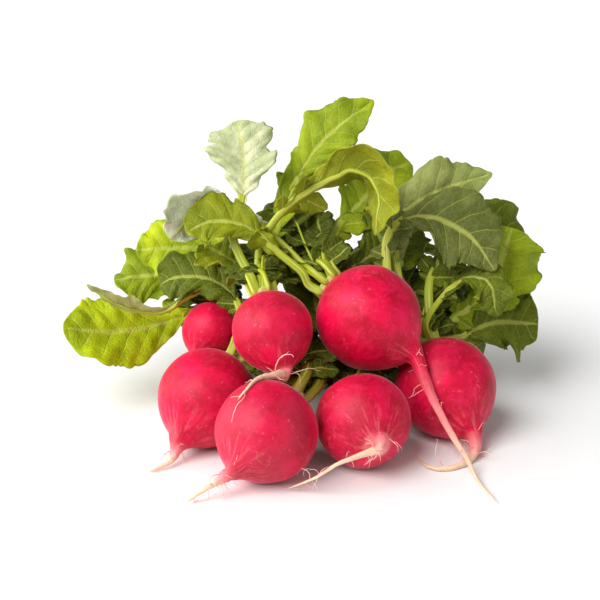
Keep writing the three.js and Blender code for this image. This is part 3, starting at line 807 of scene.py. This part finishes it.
def add_leaflet(mesh, root, out, along, up, length, rng):
    """Adds one small side lobe that stands out from a leaf stalk, with its edge ruffled."""
    share = np.linspace(0, 1, LEAFLET_ROWS + 1)
    across = np.linspace(-1, 1, LEAFLET_COLUMNS + 1)
    heading = unit(out + along * rng.uniform(0.2, 0.9))
    sideways = unit(np.cross(up, heading))
    droop = rng.uniform(-0.3, 0.7)
    up = unit(up + sideways * rng.uniform(-0.7, 0.7))
    sideways = unit(np.cross(up, heading))
    run = share[:, None]
    centre = root + heading * length * run - up * length * droop * run ** 2
    outline = np.sin(math.pi * share ** rng.uniform(0.75, 1.05)) ** 0.6
    half = length * rng.uniform(0.3, 0.46) * outline + 0.0004 * (1 - share)
    lobes = rng.uniform(2.2, 3.4)
    edges = [1 - 0.32 * (1 - np.abs(np.sin(math.pi * (share * lobes + rng.random()))) ** 0.5)
             for _ in range(2)]
    edge = np.where(across[None] > 0, edges[0][:, None], edges[1][:, None])
    width = (half[:, None] * edge * across[None])[..., None]
    rise = np.abs(across)[None, :, None] * half[:, None, None] * rng.uniform(-0.3, 0.7)
    surface = centre[:, None] + sideways * width + up * rise
    seed = rng.uniform(0, 50)
    waves = (rough(surface, LEAFLET_WAVE_SIZE, seed) * LEAFLET_WAVE_SHARE * length
             + rough(surface, LEAFLET_CRINKLE_SIZE, seed) * LEAFLET_CRINKLE_HEIGHT)
    surface = surface + up * (waves * share[:, None])[..., None]
    add_blade(mesh, surface, share, across, np.broadcast_to(up, centre.shape))


def grown_leaf(node, name, seed, finishes):
    """A leaf stalk that runs on as the midrib of a thin, lobed and ruffled blade."""
    kind, lobe_depth, ruffle_mm, pointed, wing_width = LEAF_LOOKS[name]
    wing_start = -WING_LENGTH - WING_LENGTH_BY_WIDTH * wing_width
    foot, rings, tip = leaf_loft(node)
    ups = unit(rings[:, TOP] - rings[:, UNDER])
    ups = np.concatenate([ups, ups[-1:]])
    half_widths = np.linalg.norm(rings[:, RIGHT] - rings[:, LEFT], axis=1) / 2
    half_heights = np.linalg.norm(rings[:, TOP] - rings[:, UNDER], axis=1) / 2
    mesh = bmesh.new()

    # The blade's middle surface: a midrib, and for each half the reach to its middle and its edge.
    surface = (rings[:, TOP] * 0.6 + rings[:, UNDER] * 0.4)
    surface[:STALK_RINGS + 1] = rings[:STALK_RINGS + 1].mean(1)
    surface = np.concatenate([surface, tip[None]])
    blade = rings[STALK_RINGS:]
    knots = np.arange(len(blade)) / len(blade)
    outline = blade_outline(knots)[:, None]
    outline[0] = 1
    reach = {}
    for side, edge, above, below in (
            (1, RIGHT, TOP_RIGHT, UNDER_RIGHT), (-1, LEFT, TOP_LEFT, UNDER_LEFT)):
        centre = surface[STALK_RINGS:-1]
        to_edge = (blade[:, edge] - centre) / outline
        to_middle = ((blade[:, above] + blade[:, below]) / 2 - centre) / outline
        for steps in (to_edge, to_middle):
            steps[0] = steps[1]
        last = slice(len(blade) - 1, len(blade))
        reach[side] = (np.concatenate([to_edge, to_edge[last]]),
                       np.concatenate([to_middle, to_middle[last]]))

    share = np.linspace(wing_start, 1, BLADE_ROWS + 1)
    at_surface = STALK_RINGS + len(blade) * share
    centre = spline(surface, at_surface)
    width = blade_outline(share) * (1 - pointed * smooth_step(0.35, 1, share))
    wing = wing_width * smooth_step(wing_start, wing_start / 3, share) ** 0.7
    wing = wing * (1 - smooth_step(0.3, 0.6, share))
    across = np.linspace(-1, 1, BLADE_COLUMNS + 1)
    points = np.empty((len(share), len(across), 3))
    beat = np.empty((len(share), len(across)))
    for side in (1, -1):
        keep, count, start = lobed(share - wing_start, side, lobe_depth, seed)
        half = (np.maximum(width, wing) * keep)[:, None, None]
        to_edge, to_middle = (spline(steps, len(blade) * share)[:, None] for steps in reach[side])
        columns = across * side >= 0
        out = np.abs(across[columns])[None, :, None]
        points[:, columns] = centre[:, None] + half * (
            to_middle * 4 * out * (1 - out) + to_edge * out * (2 * out - 1))
        beat[:, columns] = (count * (share - wing_start) ** 0.85 + start)[:, None]

    normals = grid_normals(points)
    up_now = spline(ups, at_surface)
    if np.sum(normals * up_now[:, None]) < 0:
        normals = -normals
    normals[-1] = up_now[-1]
    normals[0] = up_now[0]
    out = np.abs(across)[None, :]
    body = smooth_step(wing_start, wing_start + 0.15, share) * (1 - smooth_step(0.93, 1, share))
    body = body[:, None]
    ruffle = -ruffle_mm * MM * out ** 2 * np.cos(2 * math.pi * beat) * 0.5
    frill = 0.3 * ruffle_mm * MM * out ** 4 * np.sin(2 * math.pi * beat * 2.3 + seed)
    waves = (rough(points, WAVE_SIZE, seed) * WAVE_HEIGHT * out
             + rough(points, CRINKLE_SIZE, seed) * CRINKLE_HEIGHT)
    phase = (share * SIDE_VEINS)[:, None] - out * VEIN_LEAN + (across > 0)[None, :] * 0.5
    pucker = -PUCKER * np.cos(2 * math.pi * (phase - 0.5)) * np.sqrt(out) * (1 - out ** 4)
    off_vein = np.abs(phase - np.floor(phase) - 0.5)
    groove = -VEIN_GROOVE * np.exp(-(off_vein / 0.09) ** 2) * (1 - out) * smooth_step(0.02, 0.1, out)
    middle_surface = points + normals * ((ruffle + frill + waves + pucker + groove) * body)[..., None]
    add_blade(mesh, middle_surface, share, across, up_now)

    # The stalk, from inside the crown to near the tip of the blade.
    end = STALK_RINGS + 0.95 * len(blade)
    at_stalk = np.linspace(0, end, STALK_ROWS)
    stalk_share = (at_stalk - STALK_RINGS) / len(blade)
    stalk_width = np.interp(at_stalk, np.arange(STALK_RINGS + 1), half_widths[:STALK_RINGS + 1])
    stalk_height = np.interp(at_stalk, np.arange(STALK_RINGS + 1), half_heights[:STALK_RINGS + 1])
    taper = 1 - 0.86 * np.clip(stalk_share, 0, 1) ** 0.7
    stalk_width = stalk_width * taper * STALK_FULLNESS
    stalk_height = stalk_height * taper * STALK_FULLNESS
    spine = spline(surface, at_stalk)
    up_stalk = unit(spline(ups, at_stalk))
    sink = smooth_step(-0.12, 0.1, stalk_share) * 0.62
    at_blade = np.clip(stalk_share, wing_start, 1)
    lift = np.interp(at_blade, share, np.arange(len(share)))
    ribs = middle_surface[:, BLADE_COLUMNS // 2]
    on_rib = spline(ribs, lift)
    blend = smooth_step(-0.1, 0.04, stalk_share)[:, None]
    spine = spine * (1 - blend) + on_rib * blend - up_stalk * (sink * stalk_height)[:, None]
    base = spine[0] - unit(spine[1] - spine[0]) * STALK_SINK
    spine = np.concatenate([base[None], spine])
    stalk_width = np.concatenate([stalk_width[:1], stalk_width])
    stalk_height = np.concatenate([stalk_height[:1], stalk_height])
    up_stalk = np.concatenate([up_stalk[:1], up_stalk])
    tube(mesh, spine, stalk_width, stalk_height, up_stalk, finish=1, groove=0.34)

    # Side lobes along the upper half of the stalk, larger towards the blade.
    rng = random.Random(seed * 31)
    tangents = unit(np.gradient(spine, axis=0))
    stalk_end = int(np.argmin(np.abs(at_stalk - STALK_RINGS)))
    blade_half = np.linalg.norm(blade[3, RIGHT] - blade[3, LEFT]) / 2
    for pair, place in enumerate(LEAFLET_PLACES):
        for side in (1, -1):
            if rng.random() < LEAFLET_MISSING:
                continue
            i = round(stalk_end * (place + rng.uniform(-0.06, 0.06)))
            right = np.cross(up_stalk[i], tangents[i])
            length = blade_half * (1.0 - 0.2 * pair) * rng.uniform(0.5, 1.1)
            add_leaflet(mesh, spine[i], right * side, tangents[i], up_stalk[i], length, rng)

    # The front radishes' stalks take the darker stalk finish: painted shade.
    stalk = "low_stalk_shade" if name.startswith("front") else "stalk"
    piece = piece_of(mesh, f"foliage_{name}", [finishes[kind], finishes[stalk]])
    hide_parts(node)
    return foot, rings


# ---------------------------------------------------------------- small parts


def crown_piece(name, radish, feet, finish, seed):
    """The short scarred crown that the leaf stalks grow from, with a few young stubs."""
    centre, radius = bulb_of(radish)
    axis = unit(radish["crown"] - centre)
    side = unit(np.cross(axis, (0.3, 0.2, 1)))
    other = np.cross(axis, side)
    spread = np.mean([np.linalg.norm(np.cross(foot - radish["crown"], axis)) for foot in feet])
    top = np.mean([(foot - radish["crown"]) @ axis for foot in feet])
    step = np.linspace(0, 1, CROWN_ROWS + 1)
    foot_depth = CROWN_DEPTH * radius
    rise = np.sin(step * math.pi / 2) ** 1.2
    height = (top + 1.4 * MM + foot_depth) * rise - foot_depth
    wide = CROWN_FOOT * radius
    reach = (wide + (spread + 0.3 * MM - wide) * smooth_step(0, 0.75, step)) * np.sqrt(
        np.clip(1 - step ** 7, 0, 1))
    reach[0] = 0
    angle = np.linspace(0, 2 * math.pi, CROWN_COLUMNS + 1)
    angle[-1] = 0
    bumpy = 1 + 0.09 * np.sin(len(feet) * angle)[None] * step[:, None]
    place = np.stack(np.broadcast_arrays(
        2 * np.cos(angle)[None], 2 * np.sin(angle)[None], 3 * step[:, None]), axis=-1)
    bumpy = bumpy + 0.1 * rough(place, 1.0, seed)
    spokes = side * np.cos(angle)[:, None] + other * np.sin(angle)[:, None]
    points = (radish["crown"] + axis * height[:, None, None]
              + spokes[None] * (reach[:, None] * bumpy)[..., None])
    points[:, -1] = points[:, 0]
    uv = np.stack(np.broadcast_arrays(
        np.linspace(0, 1, CROWN_COLUMNS + 1)[None], step[:, None]), axis=-1)
    mesh = bmesh.new()
    add_shell(mesh, points, uv)
    rng = random.Random(seed)
    for _ in range(CROWN_STUBS):
        turn = rng.uniform(0, 2 * math.pi)
        lean = side * math.cos(turn) + other * math.sin(turn)
        start = radish["crown"] + axis * (top - 1 * MM) + lean * spread * rng.uniform(0, 0.45)
        length = rng.uniform(2.5, 5) * MM
        run = np.linspace(0, 1, 12)[:, None]
        spine = start + axis * length * run + lean * 0.9 * MM * run ** 2
        thick = rng.uniform(0.5, 0.8) * MM * (1 - 0.6 * run[:, 0] ** 2)
        tube(mesh, spine, thick, thick, np.broadcast_to(lean, spine.shape), corners=10)
    return piece_of(mesh, f"crown_{name}", [finish])


def young_leaves(name, radish, stalks, finishes, seed):
    """Small inner leaves between a radish's full-grown ones, which they follow upwards."""
    centre, _ = bulb_of(radish)
    axis = unit(radish["crown"] - centre)
    lean = unit(np.mean([unit(rings[STALK_RINGS - 1].mean(0) - foot) for foot, rings in stalks], axis=0))
    foot = np.mean([foot for foot, _ in stalks], axis=0)
    spread = np.mean([np.linalg.norm(grown_foot - foot) for grown_foot, _ in stalks])
    rng = random.Random(seed)
    mesh = bmesh.new()
    count, lean_back = YOUNG_LEAVES[name]
    for _ in range(count):
        aside = np.array([rng.gauss(0, 1) for _ in range(3)])
        aside = aside - axis * (aside @ axis)
        heading = unit(lean + aside * YOUNG_SPREAD + (0, lean_back, YOUNG_LIFT))
        length = rng.uniform(*YOUNG_STALK_LENGTH) * MM
        run = np.linspace(0, 1, 30)[:, None]
        start = foot - axis * 1.5 * MM + unit(aside) * spread * rng.uniform(0.1, 0.6)
        spine = start + axis * length * 0.5 * run + (heading * length - axis * length * 0.5) * run ** 2
        spine[:, 2] = np.maximum(spine[:, 2], 1.5 * MM)
        up = unit(np.cross(np.cross(heading, (0, -0.6, 0.8)), heading))
        thick = rng.uniform(0.7, 1.1) * MM * (1 - 0.5 * run[:, 0])
        tube(mesh, spine, thick, thick, np.broadcast_to(up, spine.shape), finish=1, corners=12,
             groove=0.3)
        blade = rng.uniform(*YOUNG_BLADE_LENGTH) * MM
        add_leaflet(mesh, spine[-3], heading, heading, up, blade, rng)
        right = np.cross(up, heading)
        for side, at in ((1, -8), (-1, -10), (1, -17), (-1, -16)):
            size = blade * rng.uniform(0.3, 0.7)
            add_leaflet(mesh, spine[at], right * side, heading, up, size, rng)
    # The young leaves take the darkest leaf kind, painted shade for the middle of the crown.
    return piece_of(mesh, f"young_leaves_{name}", [finishes["inner"], finishes["stalk"]])


def rootlet(mesh, start, heading, length, thickness, bulbs, rng):
    """One thread of root that wanders off, lies over any bulb in its way and settles downwards."""
    spine = [start]
    heading = unit(heading)
    for _ in range(ROOTLET_STEPS):
        drift = np.array([rng.gauss(0, 1) for _ in range(3)]) * ROOTLET_SPREAD
        heading = unit(heading + drift + np.array((0, 0, -ROOTLET_DROOP)))
        place = spine[-1] + heading * length / ROOTLET_STEPS
        for centre, radius in bulbs:
            away = place - centre
            distance = np.linalg.norm(away)
            if distance < radius + thickness:
                place = centre + away / distance * (radius + thickness)
        place[2] = max(place[2], thickness)
        spine.append(place)
    spine = np.array(spine)
    count = 3 * ROOTLET_STEPS
    spine = spline(spine, np.linspace(0, ROOTLET_STEPS, count))
    taper = thickness * (1 - 0.75 * np.linspace(0, 1, count))
    up = np.broadcast_to(unit(np.cross(spine[-1] - spine[0], (0.31, 0.2, 0.93))), spine.shape)
    tube(mesh, spine, taper, taper, up, corners=6)
    return spine


def rootlets(name, radish, bulbs, finish, seed):
    """The side roots of a radish: most of them leave the taproot just below the bulb."""
    rng = random.Random(seed)
    taproot = radish["rings"][BULB_RINGS:]
    mesh = bmesh.new()
    count, longest = ROOTLETS[name]
    for _ in range(count):
        at = rng.uniform(0, 3.2) if rng.random() < 0.7 else rng.uniform(3, len(taproot) - 2)
        ring = spline(taproot, np.array([at]))[0]
        middle = ring.mean(0)
        along = unit(spline(taproot, np.array([at + 0.4]))[0].mean(0) - middle)
        out = unit(ring[rng.randrange(RADISH_SIDES)] - middle)
        start = middle + out * np.linalg.norm(ring - middle, axis=1).mean() * 0.7
        length = rng.uniform(0.35, 1) ** 1.3 * longest * MM
        thick = rng.uniform(*ROOTLET_THICKNESS) * MM
        heading = out + along * rng.uniform(-0.9, 0.8)
        spine = rootlet(mesh, start, heading, length, thick, bulbs, rng)
        if rng.random() < FORKED_ROOTLETS:
            fork = spine[rng.randrange(12, 32)]
            aside = unit(heading + np.array([rng.gauss(0, 0.8) for _ in range(3)]))
            rootlet(mesh, fork, aside, length * 0.5, thick * 0.7, bulbs, rng)
    return piece_of(mesh, f"rootlets_{name}", [finish])


# ---------------------------------------------------------------- the bunch


def grow_bunch():
    names = list(RADISH_LOOKS)
    grown = {}
    for seed, name in enumerate(names, start=1):
        grown[name] = radish_skin(f"radish_{name}", name, seed)
    bulbs = [bulb_of(radish) for radish in grown.values()]

    finishes = {kind: leaf_finish(f"{kind}_leaf", *pair) for kind, pair in LEAF_COLOURS.items()}
    finishes["stalk"] = stalk_finish("leaf_stalk", STALK_GREEN, 0.05)
    # Painted shade: the darker olive stalk finish for the front radishes' stalks.
    finishes["low_stalk_shade"] = stalk_finish("low_leaf_stalk_shade", LOW_STALK_SHADE, 0.1)
    stalks = {name: [] for name in names}
    for seed, name in enumerate(LEAF_LOOKS, start=1):
        stalks[name.rsplit("_", 1)[0]].append(grown_leaf(f"leaf_{name}", name, seed, finishes))

    crown = crown_finish()
    threads = rootlet_finish()
    for seed, name in enumerate(names, start=1):
        crown_piece(name, grown[name], [foot for foot, _ in stalks[name]], crown, seed)
        if name in YOUNG_LEAVES:
            young_leaves(name, grown[name], stalks[name], finishes, 70 + seed)
        rootlets(name, grown[name], bulbs, threads, 40 + seed)


grow_bunch()

# ---------------------------------------------------------------- floor, light and camera

LOW, HIGH = (np.array(corner) for corner in packed_box)
MIDDLE = (LOW + HIGH) / 2

# Where each light shines from, its spread in degrees and its strength.
LIGHTS = {
    "key": ((-0.7, -0.65, 1.0), 45, 3.3),
    "rim": ((-1.0, 0.15, 0.35), 60, 2.4),
    "fill": ((0.7, -0.9, 0.5), 60, 0.35),
}
SKY_COLOUR = (1, 0.985, 0.965, 1)
SKY_STRENGTH = 0.26

LENS = 106.8
SENSOR = 36
EYE = (-0.0024, -0.6399, 0.2962)
TARGET = (-0.0024, -0.0331, 0.0633)
FLOOR_HALF_SIZE = 4
FLOOR_SHADE = 0.9


def plain_floor():
    mesh = bmesh.new()
    bmesh.ops.create_grid(mesh, x_segments=1, y_segments=1, size=FLOOR_HALF_SIZE)
    data = bpy.data.meshes.new("floor")
    mesh.to_mesh(data)
    mesh.free()
    floor = bpy.data.objects.new("floor", data)
    bpy.context.scene.collection.objects.link(floor)
    s = Shading("floor")
    data.materials.append(s.finish(Base_Color=(FLOOR_SHADE, FLOOR_SHADE, FLOOR_SHADE, 1), Roughness=0.9))


def soft_light(name, place, spread, strength):
    """A far, wide light that shines from that place on the middle of the bunch."""
    light = bpy.data.lights.new(name, "SUN")
    light.angle = math.radians(spread)
    light.energy = strength
    lamp = bpy.data.objects.new(name, light)
    lamp.location = place
    lamp.rotation_euler = (Vector(MIDDLE) - Vector(place)).to_track_quat("-Z", "Y").to_euler()
    bpy.context.scene.collection.objects.link(lamp)


def studio():
    world = bpy.data.worlds.new("studio")
    world.use_nodes = True
    background = world.node_tree.nodes["Background"]
    background.inputs["Color"].default_value = SKY_COLOUR
    background.inputs["Strength"].default_value = SKY_STRENGTH
    bpy.context.scene.world = world
    for name, (place, spread, strength) in LIGHTS.items():
        soft_light(name, place, spread, strength)
    bpy.context.scene.view_settings.view_transform = "Standard"


def camera():
    """Looks along +Y and down a little, far enough off to flatten the view."""
    data = bpy.data.cameras.new("camera")
    data.lens = LENS
    data.sensor_width = SENSOR
    eye = bpy.data.objects.new("camera", data)
    eye.location = EYE
    eye.rotation_euler = (Vector(TARGET) - Vector(EYE)).to_track_quat("-Z", "Y").to_euler()
    bpy.context.scene.collection.objects.link(eye)
    bpy.context.scene.camera = eye


plain_floor()
studio()
camera()
